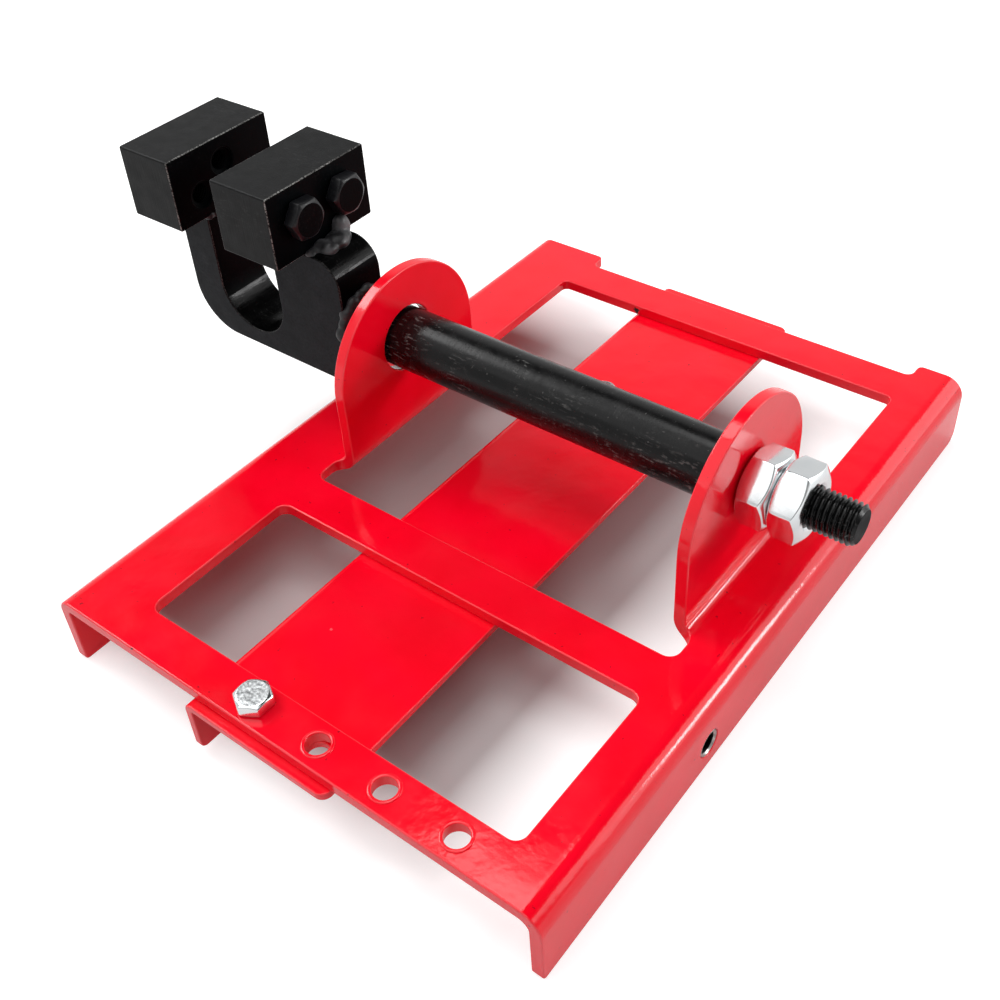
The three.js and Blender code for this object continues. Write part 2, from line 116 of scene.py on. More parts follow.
# Guide plate
FACE_GAP = 0.1
ROUND_GAP = 0.3
GUIDE_SHEET = 3.2
GUIDE_LEFT = 74.3
GUIDE_RIGHT = 142.7
GUIDE_FRONT = -3.6
GUIDE_BACK = 314.4
GUIDE_FLANGE_DEPTH = 24.6
GUIDE_FOLD_INNER_RADIUS = 0.8
GUIDE_CORNER_RADIUS = 4
GUIDE_FOOT_RADIUS = 3
GUIDE_BOLT_HOLE_RADIUS = 4.5
GUIDE_SPARE_HOLE_X = 128.4
GUIDE_SPARE_HOLE_RADIUS = 4.2
REAR_BOLT_Y = 222
GUIDE_EDGE = 0.45

# Fasteners. A corner is the turn of a hexagon's first corner, in degrees.
GUIDE_BOLT = {"across_flats": 13, "head": 5.3, "shank": 4, "pitch": 1.25, "chamfer": 1}
GUIDE_BOLT_CORNER = -90
GUIDE_BOLT_STICK_OUT = 2.5
GUIDE_NUT_HEIGHT = 6.8
GUIDE_NUT_BORE = 4.1
GUIDE_NUT_CORNER = 0
WASHER = {"radius": 8.4, "thickness": 1.6, "bore": 4.3, "edge": 0.3}
JAM_NUT_ACROSS_FLATS = 27
JAM_NUT_HEIGHT = 12.4
JAM_NUT_CORNER = 45.8
JAM_NUT_BORE = 8.15
CLAMP_BOLT = {"across_flats": 16, "head": 6.4, "shank": 5, "pitch": 1.5, "chamfer": 1.2}
CLAMP_BOLT_LENGTH = 45
CLAMP_BOLT_SPREAD = 12
CLAMP_BOLT_HEIGHT = 17.9
CLAMP_BOLT_CORNER = -5
BOLT_THREAD_LENGTH = 26
HEX_SIDES = 6
HEX_CORNER_RADIUS = 0.9
HEX_EDGE = 0.25
HEX_ROUND_ACROSS = HEX_EDGE / 4
HEX_ROUND_ALONG = HEX_EDGE / 3
HEX_FACE_STEP = 0.8
HEX_FACE_SHARE = 0.88
WASHER_FACE = 0.35
WASHER_FACE_SHARE = 0.94
NUT_MOUTH = 1

# Threads. The steepness and the crest are shares of a thread's depth.
THREAD_DEPTH_SHARE = 0.58
THREAD_STEEPNESS_SHARE = 1.7
THREAD_CREST_SHARE = 0.15
THREAD_ROWS = 12

# Swivel shaft
SHAFT_RADIUS = 13
SHAFT_START = 18.9
SHAFT_SHOULDER = 197.7
SHAFT_CHAMFER = 0.8
THREAD_RADIUS = 8
THREAD_PITCH = 2
THREAD_CHAMFER = 1.6
THREAD_END = 245.7
INNER_NUT_START = 203.3
OUTER_NUT_START = 215.8

# Yoke and jaws, measured from the shaft's own line
YOKE_THICKNESS = 25
YOKE_RIGHT = 18.8
YOKE_LEFT = -76.5
YOKE_BOTTOM = -28.2
YOKE_TOP = 32.6
SLOT_HALF_WIDTH = 19
SLOT_CENTRE_X = -39
SLOT_LEFT = SLOT_CENTRE_X - SLOT_HALF_WIDTH
SLOT_RIGHT = SLOT_CENTRE_X + SLOT_HALF_WIDTH
SLOT_BOTTOM = -20
YOKE_HEEL_RADIUS = 22
YOKE_SHOULDER_RADIUS = 12.5
YOKE_EDGE = 0.7
JAW_LENGTH = 56.6
JAW_BOTTOM = 32.7
JAW_TOP = 65.1
LEFT_JAW = (-85.7, -56)
RIGHT_JAW = (-29.7, 1.85)
JAW_EDGE = 0.55
JAW_CORNER_RADIUS = 0.9
TAPPED_HOLES = ((-13.1, 11.2), (0.4, 21))
TAPPED_RADIUS = 4.25
TAPPED_MOUTH_RADIUS = 6
TAPPED_MOUTH_DEPTH = 1.75
LINING_START = JAW_EDGE * 1.5

# Welds, as lumps at (x, y, z) with radii along each axis, measured from the shaft's own line
SHOULDER_LUMPS = (
    ((3.4, 8, 36.4), (3.6, 4.6, 6)), ((5.2, 6.6, 33.2), (4.4, 3.6, 3.6)),
    ((6, 2.4, 33.2), (5.4, 6, 4)), ((6.4, -3.6, 32.8), (4.8, 4.6, 3.4)),
    ((3.2, -4.4, 33.6), (2.8, 3.4, 2.8)), ((3.2, -8.4, 32.9), (2.4, 2, 2)),
    ((2.8, -11.2, 32.7), (2, 1.6, 1.7)), ((4.6, -11, 32), (1.5, 1.4, 1.4)),
)
LUMP_SHARES = (1, 0.82, 1.1, 0.9, 1.18, 0.86, 1.05)
LUMP_SPACING_SHARE = 0.8
LUMP_SUBDIVISIONS = 3
HIDDEN_WELD_RADIUS = 3.6
SLOT_WELD_RADIUS = 2.6
SHAFT_WELD_RADIUS = 3.6
SHAFT_WELD_LUMPS = 18
WELD_VOXEL = 0.35
WELD_SMOOTHING = 45

# A weld's uneven skin, as a height, its bumps to a millimetre, and a finer, lower layer of bumps
WELD_UNEVENNESS = 0.16
WELD_GRAIN = 0.2
WELD_FINER = 3
WELD_FINE_SHARE = 1 / 8

# How finely round shapes are drawn, and how far they may turn and stay smooth, in degrees
ARC_STEP = 0.7
FEWEST_ARC_STEPS = 6
MOST_ARC_STEPS = 40
ROUND_COLUMNS = 72
FOLD_STEPS = 10
EDGE_STEPS = 3
CLOSE = 0.001
FASTENER_SMOOTH = 35
SHAFT_SMOOTH = 40
WELD_SMOOTH = 180

# Which of its materials a face takes, and how squarely it faces an axis to lie across it
MAIN, SECOND, THIRD = range(3)
SQUARE = 0.9

# Where a mix node's colours are among its inputs and its outputs
MIX_COLOUR_A, MIX_COLOUR_B = 6, 7
MIX_COLOUR_OUT = 2

# Turns that lay a piece made along Z down along X, and that face a flat plate's top to the front
Z_TO_X = Matrix(((0, 0, 1), (1, 0, 0), (0, 1, 0))).to_4x4()
TOP_TO_FRONT = Matrix(((1, 0, 0), (0, 0, -1), (0, 1, 0))).to_4x4()

# Patches on the surfaces: how many there are to a metre, how many finer layers they hold, and the
# two heights of their clouds between which they fade in. A stretch says how much closer together
# they lie along each axis. The zinc's spots and pits lack the value that differs between the zincs.
PAINT_TONES = (35, 3, 0.35, 0.65)
PAINT_GRIME = (480, 5, 0.71, 0.74)
PAINT_SHINE = (60, 3, 0.3, 0.7)
FLAW_RAGS = (900, 3, 0.3, 0.7)
BLACK_TONES = (90, 5, 0.35, 0.65)
BLACK_SHINE = (150, 4, 0.3, 0.7)
WORN_STRETCHES = (110, 2, 0.35, 0.65)
WORN_CHIPS = (1500, 4, 0.38, 0.58)
SPECKS = (750, 5, 0.67, 0.72)
SCUFFED_AREAS = (50, 3, 0.48, 0.62)
SCRATCHES = (650, 8, 0.55, 0.64)
SCRATCH_STRETCH = (0.4, 1.5, 1.5)
MACHINED_LINES = (900, 3)
MACHINED_SPAN = (0.3, 0.6)
WELD_TONES = (120, 2, 0.35, 0.65)
WELD_SHINE = (250, 4, 0.3, 0.7)
ZINC_SPOT_LAYERS = (4, 0.35, 0.65)
ZINC_SHINE = (200, 4, 0.3, 0.7)
STEEL_TONES = (600, 4, 0.4, 0.6)
STEEL_SHINE = (400, 3, 0.3, 0.7)

# Relief of the surfaces: how many bumps there are to a metre, how many finer layers they hold, and
# their depth in millimetres
PAINT_PEEL = (420, 2, 0.04)
PAINT_WAVES = (45, 1, 0.3)
BLACK_PITS = (250, 5, 0.05)
WELD_PITS = (500, 3, 0.02)
ZINC_PITS = (500, 4)
STEEL_PITS = (900, 4, 0.03)

# Colours, and the shares of them that are mixed in
PAINT_DARK = (0.87, 0.0005, 0.012)
PAINT_LIGHT = (0.94, 0.001, 0.017)
# A lighter red along the rounded edges, painted as their highlight, and how much of it is mixed in
PAINTED_EDGE_HIGHLIGHT = (1, 0.1, 0.12)
PAINTED_EDGE_HIGHLIGHT_SHARE = 0.3
GRIME = (0.2, 0.004, 0.01)
GRIME_SHARE = 0.7
SCUFF = (0.24, 0.24, 0.23)
BARE_EDGE = (0.42, 0.42, 0.4)
WORN_SHARES = (0.3, 1)
SPECK_SHARE = 0.5
DARK_SHARE = 0.6
LINE_SHARE = 0.4
ZINC_LIGHT = (0.84, 0.86, 0.87)
ZINC_SPOT = (0.94, 0.98, 1)
STEEL_DARK = (0.3, 0.27, 0.26)
STEEL_LIGHT = (0.55, 0.54, 0.53)
WHITE = (1, 1, 1)

# How glossy and how rough the surfaces are
PAINT_ROUGHNESS = (0.08, 0.16)
STEEL_ROUGHNESS = (0.25, 0.45)
WELD_ROUGHNESS = (0.3, 0.45)
WELD_GLOSS = 0.35
ROUGHNESS_SWING = 0.06

# Small flaws in the paint, as a place, a radius and a colour
PAINT_FLAWS = (
    ((76, 286.1, -3), 1.5, (0.02, 0.004, 0.004)),
    ((94, 51.5, -5.1), 0.6, (0.93, 0.08, 0.1)),
    ((44, 0, -0.3), 0.7, (0.05, 0.004, 0.006)),
)
FLAW_CORE_SHARE = 0.8
FLAW_RAG_SHARES = (0.5, 1.5)

# Floor, with a patch under the frame where its glow is left out, which paints the frame's shade on the
# floor there. A glow is two distances beyond that patch, and how much it adds to the floor at each.
# Near the patch's rim the glow reaches into the frame's windows, where it paints light on the floor
# seen through them.
FLOOR_REACH = 6
FLOOR_GREY = (0.56, 0.56, 0.56)
FLOOR_ROUGHNESS = 0.9
PAINTED_SHADE_MIDDLE = (-0.003, -0.0025, 0)
PAINTED_SHADE_HALF = (0.083, 0.1175, 0)
RIM_GLOW = (0, 0.035, 0, 0.65)
FAR_GLOW = (0.035, 1, 0, 0.6)
REFLECTED_GLOW = 0.35

# Light of the room, each as two places on the sky and how bright it is at each. A height is 0 at the
# horizon and 1 overhead, and the right is 1 at the far right. The room's two are multiplied.
ROOM_BY_HEIGHT = (0.55, 0.7, 0.72, 0.05)
ROOM_BY_RIGHT = (0, 0.5, 1, 0.3)
HORIZON_BY_HEIGHT = (0, 0.15, 1, 0)

# Softboxes, with their power in watts
SOFTBOXES = {
    "key": {"place": (-2.9, -0.1, 2.9), "target": (0, 0, 0), "size": (1.8, 1.8), "power": 78},
    "front": {"place": (-0.3, -1.75, 3), "target": (-0.3, -1.75, 0), "size": (4.8, 3.7), "power": 70},
    "overhead": {"place": (-0.54, 0.7, 3), "target": (-0.54, 0.7, 0), "size": (1.5, 1.05), "power": 22},
    "right_back": {"place": (1.9, 1.28, 0.66), "target": (0.14, -0.05, 0), "size": (0.45, 0.42),
                   "power": 9.5},
    "backdrop": {"place": (1.75, 1.79, 0.97), "target": (0.14, 0, 0), "size": (2.4, 1.7), "power": 26},
}

# Camera, found from the frame's straight edges, its ears and its holes in the photograph
CAMERA_PLACE = (0.2694, -0.3022, 0.3743)
CAMERA_TURN = (49.7732, 3.1806, 37.6772)
CAMERA_LENS = 45.34
CAMERA_SHIFT = (0.0027, -0.0482)
CAMERA_RANGE = (0.01, 100)


# Outlines

def without_repeats(points):
    return [point for i, point in enumerate(points) if (point - points[i - 1]).length > CLOSE]


def arc(before, corner, after, radius):
    """Points of the arc that rounds a corner between the places before and after it."""
    to_before = (before - corner).normalized()
    to_after = (after - corner).normalized()
    half = to_before.angle(to_after) / 2
    centre = corner + (to_before + to_after).normalized() * radius / math.sin(half)
    start = corner + to_before * radius / math.tan(half) - centre
    side = math.copysign(1, to_before.cross(to_after))
    turn = side * (2 * half - math.pi)
    steps = round(abs(turn) * radius / ARC_STEP)
    steps = min(max(steps, FEWEST_ARC_STEPS), MOST_ARC_STEPS)
    return [centre + Matrix.Rotation(turn * step / steps, 2) @ start for step in range(steps + 1)]


def outline(corners):
    """The points round a shape. Corners are (across, up, radius), and each becomes an arc."""
    places = [Vector((across, up)) for across, up, radius in corners]
    points = []
    for i, (across, up, radius) in enumerate(corners):
        points += arc(places[i - 1], places[i], places[(i + 1) % len(places)], radius)
    return without_repeats(points)


def rectangle(left, bottom, right, top, radius):
    return outline([(left, bottom, radius), (right, bottom, radius),
                    (right, top, radius), (left, top, radius)])


def circle(x, y, radius):
    turns = [2 * math.pi * i / ROUND_COLUMNS for i in range(ROUND_COLUMNS)]
    return [Vector((x + radius * math.cos(a), y + radius * math.sin(a))) for a in turns]


# Meshes

def carrier_of(data):
    """An object in the scene that holds this curve or mesh for a while."""
    carrier = bpy.data.objects.new("carrier", data)
    bpy.context.scene.collection.objects.link(carrier)
    return carrier


def evaluated(carrier):
    """What a carrier's curve or modifiers come to, as a bmesh. The carrier goes."""
    seen = carrier.evaluated_get(bpy.context.evaluated_depsgraph_get())
    mesh = bpy.data.meshes.new_from_object(seen)
    bm = bmesh.new()
    bm.from_mesh(mesh)
    bpy.data.objects.remove(carrier)
    bpy.data.meshes.remove(mesh)
    return bm


def join(bm, other):
    mesh = bpy.data.meshes.new("joined")
    other.to_mesh(mesh)
    bm.from_mesh(mesh)
    bpy.data.meshes.remove(mesh)


def moved(bm, x, y, z):
    bmesh.ops.translate(bm, vec=(x, y, z), verts=bm.verts)
    return bm


def placed(bm, turn, x, y, z):
    """Turns a piece, then moves it."""
    bmesh.ops.transform(bm, matrix=Matrix.Translation((x, y, z)) @ turn, verts=bm.verts)
    return bm


def mark_top(bm):
    """Gives the faces that look straight up, such as the top of a bolt's head, the second material."""
    for face in bm.faces:
        face.material_index = SECOND if face.normal.z > SQUARE else MAIN
    return bm


def mark_rim(bm):
    """Gives a flat plate's outer rim and the walls of its holes the second material."""
    for face in bm.faces:
        face.material_index = SECOND if abs(face.normal.z) < SQUARE else MAIN
    return bm


# Plates with rounded edges, and their folds

def plate(loops, thickness, edge):
    """A flat plate with its top at height 0. The vertex layer edge is 1 on its rounded edges."""
    curve = bpy.data.curves.new("plate", "CURVE")
    curve.dimensions = "2D"
    curve.fill_mode = "BOTH"
    curve.extrude = thickness / 2 - edge
    curve.bevel_depth = edge
    curve.bevel_resolution = EDGE_STEPS
    curve.offset = -edge
    for loop in loops:
        spline = curve.splines.new("POLY")
        spline.points.add(len(loop) - 1)
        for point, (x, y) in zip(spline.points, loop):
            point.co = (x, y, 0, 1)
        spline.use_cyclic_u = True
    bm = evaluated(carrier_of(curve))
    bpy.data.curves.remove(curve)
    bmesh.ops.remove_doubles(bm, verts=bm.verts, dist=CLOSE)
    bmesh.ops.recalc_face_normals(bm, faces=bm.faces)
    worn = bm.verts.layers.float.new("edge")
    for vert in bm.verts:
        height = abs(vert.co.z)
        on_edge = thickness / 2 - edge + CLOSE < height < thickness / 2 - CLOSE
        vert[worn] = float(on_edge)
        vert.co.z -= thickness / 2
    return bm


def fold(bm, line, side, centre, thickness, applies=lambda place: True):
    """Folds what lies beyond a line along Y. Side is 1 for its right and -1 for its left, and
    centre is the height of the fold's own centre, above the sheet to fold up and below to fold down."""
    way = math.copysign(1, centre)
    neutral = way * (centre + thickness / 2)
    quarter = neutral * math.pi / 2
    for step in range(FOLD_STEPS + 1):
        x = line + side * quarter * step / FOLD_STEPS
        bmesh.ops.bisect_plane(bm, geom=bm.verts[:] + bm.edges[:] + bm.faces[:], dist=CLOSE,
                               plane_co=(x, 0, 0), plane_no=(1, 0, 0))
    for vert in bm.verts:
        reach = side * (vert.co.x - line)
        if reach <= 0 or not applies(vert.co):
            continue
        radius = way * (centre - vert.co.z)
        turn = min(reach, quarter) / neutral
        vert.co.x = line + side * radius * math.sin(turn)
        vert.co.z = centre - way * radius * math.cos(turn) + way * max(0, reach - quarter)


def fold_length(inner, thickness):
    return (inner + thickness / 2) * math.pi / 2


def flat_length(inner, thickness, depth):
    """How far from its fold's line a place lies in the flat sheet, when it hangs at this depth."""
    return fold_length(inner, thickness) + depth - inner - thickness


def ear_reach(height):
    """How far from its fold's line a place on an ear lies in the flat sheet, when it stands this high."""
    return fold_length(EAR_FOLD_RADIUS, SHEET) + height - EAR_FOLD_RADIUS


# Skins of rings, for round and hexagonal pieces

def skin(rings, looped=False):
    """A closed surface through rings of points. Its ends are filled unless the rings loop."""
    bm = bmesh.new()
    rows = [[bm.verts.new(point) for point in points] for points in rings]
    columns = len(rows[0])
    pairs = list(zip(rows, rows[1:]))
    if looped:
        pairs.append((rows[-1], rows[0]))
    for row, next_row in pairs:
        for i in range(columns):
            j = (i + 1) % columns
            bm.faces.new((row[i], row[j], next_row[j], next_row[i]))
    if not looped:
        for row in (rows[0], rows[-1]):
            centre = bm.verts.new(sum((vert.co for vert in row), Vector()) / columns)
            for i in range(columns):
                bm.faces.new((row[i], row[(i + 1) % columns], centre))
    bmesh.ops.recalc_face_normals(bm, faces=bm.faces)
    bm.verts.layers.float.new("edge")
    return bm


def ring(columns, radius, along):
    """One ring about the Z axis. Radius and along are numbers, or functions of turn and reach."""
    points = []
    for turn, reach in columns:
        out = radius(turn, reach) if callable(radius) else radius
        height = along(turn, reach) if callable(along) else along
        points.append(Vector((out * math.cos(turn), out * math.sin(turn), height)))
    return points


def round_columns():
    """The turn and reach of points round a circle. Its reach isn't used, so it is 0."""
    return [(2 * math.pi * i / ROUND_COLUMNS, 0) for i in range(ROUND_COLUMNS)]


def hex_columns(across_flats, corner_degrees):
    """The turn and reach of points round a hexagon with slightly rounded corners."""
    reach = across_flats / math.sqrt(3)
    turns = [math.radians(corner_degrees + 360 * i / HEX_SIDES) for i in range(HEX_SIDES)]
    corners = outline([(reach * math.cos(a), reach * math.sin(a), HEX_CORNER_RADIUS) for a in turns])
    points = []
    for i, start in enumerate(corners):
        end = corners[(i + 1) % len(corners)]
        parts = math.ceil((end - start).length / HEX_FACE_STEP)
        points += [start.lerp(end, part / parts) for part in range(parts)]
    return [(math.atan2(point.y, point.x), point.length) for point in points]


def groove(turn, along, pitch):
    """How deep a place lies in a right-handed thread, from 0 on its crest to 1 at its root."""
    share = (along / pitch - turn / (2 * math.pi)) % 1
    return 1 - abs(2 * share - 1)


def thread_rings(columns, radius, pitch, start, end, tip, chamfer):
    """Rings of a thread cut into a shank from start to end, with its chamfered tip at tip."""
    depth = pitch * THREAD_DEPTH_SHARE
    rows = math.ceil(abs(end - start) / pitch * THREAD_ROWS)
    rings = []
    for row in range(rows + 1):
        along = start + (end - start) * row / rows
        limit = radius - max(0, chamfer - abs(tip - along))

        def surface(turn, reach, along=along, limit=limit):
            cut = THREAD_STEEPNESS_SHARE * groove(turn, along, pitch) - THREAD_CREST_SHARE
            return min(radius - depth * min(max(cut, 0), 1), limit)

        rings.append(ring(columns, surface, along))
    return rings


def bore_rings(columns, radius, depth, pitch, start, end, rows):
    """Rings of a thread cut into a bore from start to end."""
    rings = []
    for row in range(rows + 1):
        along = start + (end - start) * row / rows

        def surface(turn, reach, along=along):
            return radius + depth * groove(turn, along, pitch)

        rings.append(ring(columns, surface, along))
    return rings


def hex_end(columns, across_flats, top, way):
    """Rings from a hexagon's side, over the cone that cuts its corners, to the flat circle on top."""
    face = across_flats / 2 * HEX_FACE_SHARE

    def cone(reach):
        return top - way * (reach - face) / math.sqrt(3)

    return [
        ring(columns, lambda turn, reach: reach, lambda turn, reach: cone(reach) - way * HEX_EDGE),
        ring(columns, lambda turn, reach: reach - HEX_ROUND_ACROSS,
             lambda turn, reach: cone(reach) - way * HEX_ROUND_ALONG),
        ring(columns, lambda turn, reach: reach - HEX_EDGE, lambda turn, reach: cone(reach - HEX_EDGE)),
        ring(columns, face, top),
        ring(columns, face - HEX_EDGE, top),
    ]


# Fasteners

def hex_bolt(bolt, length, corner_degrees):
    """A bolt along Z with its seat at height 0, its head above and its shank below."""
    columns = hex_columns(bolt["across_flats"], corner_degrees)
    washer_face = bolt["across_flats"] / 2 * WASHER_FACE_SHARE
    shank = bolt["shank"]
    tip = -length
    thread_from = tip + min(length - 2 * HEX_EDGE, BOLT_THREAD_LENGTH)
    rings = [ring(columns, shank - bolt["chamfer"], tip)]
    rings += thread_rings(columns, shank, bolt["pitch"], tip + HEX_EDGE, thread_from, tip,
                          bolt["chamfer"])
    rings += [
        ring(columns, shank, thread_from + HEX_EDGE),
        ring(columns, shank, -HEX_EDGE),
        ring(columns, washer_face, 0),
        ring(columns, washer_face, WASHER_FACE),
        ring(columns, lambda turn, reach: reach - HEX_EDGE, WASHER_FACE),
        ring(columns, lambda turn, reach: reach, WASHER_FACE + HEX_EDGE),
    ]
    rings += hex_end(columns, bolt["across_flats"], bolt["head"], 1)
    return mark_top(skin(rings))


def hex_nut(across_flats, height, bore, corner_degrees):
    """A nut along Z from height 0 up, chamfered at both ends."""
    columns = hex_columns(across_flats, corner_degrees)
    lower = hex_end(columns, across_flats, 0, -1)
    upper = hex_end(columns, across_flats, height, 1)
    rings = [ring(columns, bore, NUT_MOUTH), ring(columns, bore + NUT_MOUTH, 0)]
    rings += list(reversed(lower)) + upper
    rings += [ring(columns, bore + NUT_MOUTH, height), ring(columns, bore, height - NUT_MOUTH)]
    return skin(rings, looped=True)


def washer():
    columns = round_columns()
    edge = WASHER["edge"]
    inner, outer, top = WASHER["bore"], WASHER["radius"], WASHER["thickness"]
    profile = [(inner, edge), (inner + edge, 0), (outer - edge, 0), (outer, edge),
               (outer, top - edge), (outer - edge, top), (inner + edge, top), (inner, top - edge)]
    return skin([ring(columns, radius, along) for radius, along in profile], looped=True)


def clamp_bolt(y):
    bolt = hex_bolt(CLAMP_BOLT, CLAMP_BOLT_LENGTH, CLAMP_BOLT_CORNER)
    return placed(bolt, Z_TO_X, RIGHT_JAW[1] + FACE_GAP, y, JAW_BOTTOM + CLAMP_BOLT_HEIGHT)


def jam_nut(start):
    nut = hex_nut(JAM_NUT_ACROSS_FLATS, JAM_NUT_HEIGHT, JAM_NUT_BORE, JAM_NUT_CORNER)
    return placed(nut, Z_TO_X, start, 0, 0)


def bush():
    """The bush in the right flange, with a thread in its bore. The bore takes the second material."""
    columns = round_columns()
    depth = SHEET - SHEET_EDGE
    edge = SHEET_EDGE
    face = SHEET - edge / 2
    rings = [
        ring(columns, BUSH_BORE_RADIUS + edge, 0), ring(columns, BUSH_RADIUS - edge / 2, 0),
        ring(columns, BUSH_RADIUS, edge / 2), ring(columns, BUSH_RADIUS, depth),
        ring(columns, BUSH_RADIUS - edge / 2, face), ring(columns, BUSH_BORE_RADIUS + 2 * edge, face),
        ring(columns, BUSH_BORE_RADIUS + edge, face - edge),
    ]
    rings += bore_rings(columns, BUSH_BORE_RADIUS, edge, BUSH_PITCH, depth - edge, edge, BUSH_ROWS)
    bm = skin(rings, looped=True)
    for part in bm.faces:
        in_bore = part.calc_center_median().xy.length < BUSH_BORE_RADIUS + edge
        part.material_index = SECOND if in_bore else MAIN
    return placed(bm, Z_TO_X, FRAME_WIDTH - SHEET, BUSH_Y, -BUSH_DEPTH)


# Frame and guide plate

def frame_outline():
    left = LEFT_FOLD_LINE - flat_length(LEFT_FOLD_RADIUS, SHEET, FLANGE_DEPTH)
    right = RIGHT_FOLD_LINE + flat_length(RIGHT_FOLD_RADIUS, SHEET, FLANGE_DEPTH)
    right_tab = FRAME_WIDTH - RIGHT_TAB
    return outline([
        (left, 0, FLANGE_FRONT_RADIUS), (right, 0, FLANGE_FRONT_RADIUS),
        (right, FRAME_LENGTH, FLANGE_BACK_RADIUS), (right_tab, FRAME_LENGTH, TAB_RADIUS),
        (right_tab, RECESS_FRONT, TAB_FILLET_RADIUS), (LEFT_TAB, RECESS_FRONT, TAB_FILLET_RADIUS),
        (LEFT_TAB, FRAME_LENGTH, TAB_RADIUS), (left, FRAME_LENGTH, FLANGE_BACK_RADIUS),
    ])


def ear_flap(edge, side):
    """The back window's edge along one rail, from front to back, round the ear's flat flap."""
    tip = edge + side * (ear_reach(EAR_CENTRE_HEIGHT) + EAR_RADIUS)
    return [
        (edge, BACK_WINDOW_FRONT, NOTCH_RADIUS), (edge, EAR_FRONT, NOTCH_RADIUS),
        (tip, EAR_FRONT, EAR_RADIUS), (tip, EAR_BACK, EAR_RADIUS),
        (edge, EAR_BACK, NOTCH_RADIUS), (edge, BACK_WINDOW_BACK, BACK_WINDOW_RADIUS),
    ]


def frame_windows():
    front = rectangle(LEFT_RAIL, FRONT_BAR, WINDOW_RIGHT, MIDDLE_BAR_FRONT, WINDOW_RADIUS)
    back = outline(ear_flap(LEFT_RAIL, 1) + list(reversed(ear_flap(WINDOW_RIGHT, -1))))
    return [front, back]


def frame_holes():
    bush_x = RIGHT_FOLD_LINE + flat_length(RIGHT_FOLD_RADIUS, SHEET, BUSH_DEPTH)
    shaft_reach = ear_reach(SHAFT_HEIGHT)
    return [circle(x, GUIDE_HOLE_Y, GUIDE_HOLE_RADIUS) for x in GUIDE_HOLES] + [
        circle(bush_x, BUSH_Y, BUSH_HOLE_RADIUS),
        circle(LEFT_RAIL + shaft_reach, EAR_MIDDLE, LEFT_EAR_HOLE_RADIUS),
        circle(WINDOW_RIGHT - shaft_reach, EAR_MIDDLE, RIGHT_EAR_HOLE_RADIUS),
    ]


def fold_ears(bm):
    front = (BACK_WINDOW_FRONT + EAR_FRONT) / 2
    back = EAR_BACK + NOTCH_RADIUS
    middle = (LEFT_RAIL + WINDOW_RIGHT) / 2

    def in_left_ear(place):
        return front < place.y < back and LEFT_RAIL < place.x < middle

    def in_right_ear(place):
        return front < place.y < back and middle < place.x < WINDOW_RIGHT

    fold(bm, LEFT_RAIL, 1, EAR_FOLD_RADIUS, SHEET, in_left_ear)
    fold(bm, WINDOW_RIGHT, -1, EAR_FOLD_RADIUS, SHEET, in_right_ear)


def lip(radius):
    """The ring of paint that stands up round a hole's mouth."""
    columns = round_columns()
    turns = [math.pi * step / LIP_STEPS for step in range(LIP_STEPS + 1)]
    rings = [ring(columns, radius + LIP_WIDTH * (1 - math.cos(a)) / 2 - SHEET_EDGE / 2,
                  LIP_HEIGHT * math.sin(a)) for a in turns]
    rings += [ring(columns, radius + LIP_WIDTH - SHEET_EDGE, -SHEET_EDGE),
              ring(columns, radius + SHEET_EDGE / 2, -SHEET_EDGE)]
    return skin(rings, looped=True)


def frame_sheet():
    bm = plate([frame_outline(), *frame_windows(), *frame_holes()], SHEET, SHEET_EDGE)
    fold(bm, LEFT_FOLD_LINE, -1, -LEFT_FOLD_RADIUS - SHEET, SHEET)
    fold(bm, RIGHT_FOLD_LINE, 1, -RIGHT_FOLD_RADIUS - SHEET, SHEET)
    fold_ears(bm)
    for x in GUIDE_HOLES[1:]:
        join(bm, moved(lip(GUIDE_HOLE_RADIUS), x, GUIDE_HOLE_Y, 0))
    return bm


def guide_angle():
    fold_outer = GUIDE_FOLD_INNER_RADIUS + GUIDE_SHEET
    line = GUIDE_LEFT + fold_outer
    left = line - flat_length(GUIDE_FOLD_INNER_RADIUS, GUIDE_SHEET, GUIDE_FLANGE_DEPTH)
    outside = outline([
        (left, GUIDE_FRONT, GUIDE_FOOT_RADIUS), (GUIDE_RIGHT, GUIDE_FRONT, GUIDE_CORNER_RADIUS),
        (GUIDE_RIGHT, GUIDE_BACK, GUIDE_CORNER_RADIUS), (left, GUIDE_BACK, GUIDE_FOOT_RADIUS),
    ])
    holes = [
        circle(GUIDE_HOLE_X, GUIDE_HOLE_Y, GUIDE_BOLT_HOLE_RADIUS),
        circle(GUIDE_HOLE_X, REAR_BOLT_Y, GUIDE_BOLT_HOLE_RADIUS),
        circle(GUIDE_SPARE_HOLE_X, GUIDE_HOLE_Y, GUIDE_SPARE_HOLE_RADIUS),
    ]
    bm = plate([outside, *holes], GUIDE_SHEET, GUIDE_EDGE)
    fold(bm, line, -1, -fold_outer, GUIDE_SHEET)
    return moved(bm, 0, 0, -SHEET - FACE_GAP)


# Shaft, yoke and jaws

